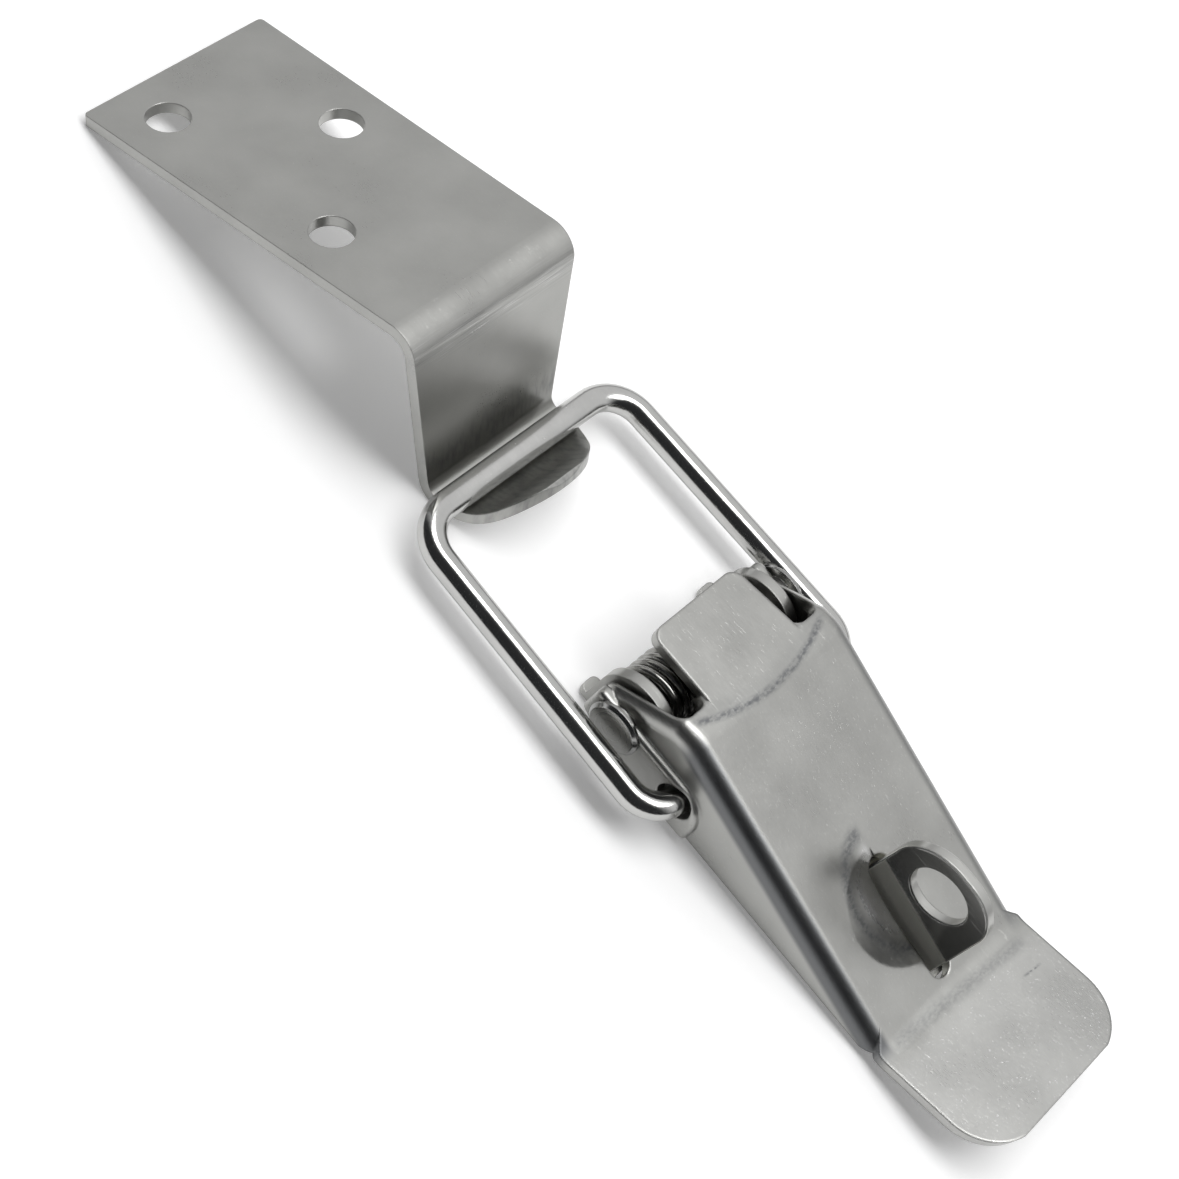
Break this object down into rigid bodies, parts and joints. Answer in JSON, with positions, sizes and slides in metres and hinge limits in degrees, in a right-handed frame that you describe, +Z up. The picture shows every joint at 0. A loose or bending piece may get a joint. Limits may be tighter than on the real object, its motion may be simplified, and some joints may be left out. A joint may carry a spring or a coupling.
{
  "type": "toggle bolt latch",
  "caption": "Over-centre toggle latch in stainless steel with a wire bail, a spring-loaded handle, a padlock staple and a separate screw-on catch plate.",
  "frame": {"origin": "Centre of the base plate's underside.", "axes": "+X runs from the catch to the handle's tail, +Y across the latch, +Z up out of the mounting surface."},
  "size_m": [0.1603, 0.0404, 0.0217],
  "materials": {
    "sheet_steel": "satin",
    "wire_steel": "polished",
    "rivet_steel": "satin",
    "spring_steel": "polished"
  },
  "bodies": {
    "base": {"base_plate": "sheet_steel", "padlock_staple": "sheet_steel", "pivot_rivet": "rivet_steel", "spring_left": "spring_steel", "spring_right": "spring_steel"},
    "handle": {"handle": "sheet_steel"},
    "bail": {"bail": "wire_steel"},
    "catch": {"catch_plate": "sheet_steel"}
  },
  "joints": [
    {"name": "handle_pivot", "type": "hinge", "parent": "base", "child": "handle", "pos_m": [-0.0215, 0, 0.0062], "axis": [0, -1, 0], "range_deg": [0, 90], "stiffness_Nm_per_rad": 0.05, "springref_deg": -28.65},
    {"name": "bail_pivot", "type": "hinge", "parent": "handle", "child": "bail", "pos_m": [-0.01075, 0, 0.0054], "axis": [0, -1, 0], "range_deg": [-130, 5]},
    {"name": "catch_tilt", "type": "hinge", "parent": "base", "child": "catch", "pos_m": [-0.0536, 0, 0.0046], "axis": [0, 1, 0], "range_deg": [0, 23.85]}
  ],
  "couplings": [
    {"joint": "bail_pivot", "follows": "handle_pivot", "ratio": -1.4}
  ]
}
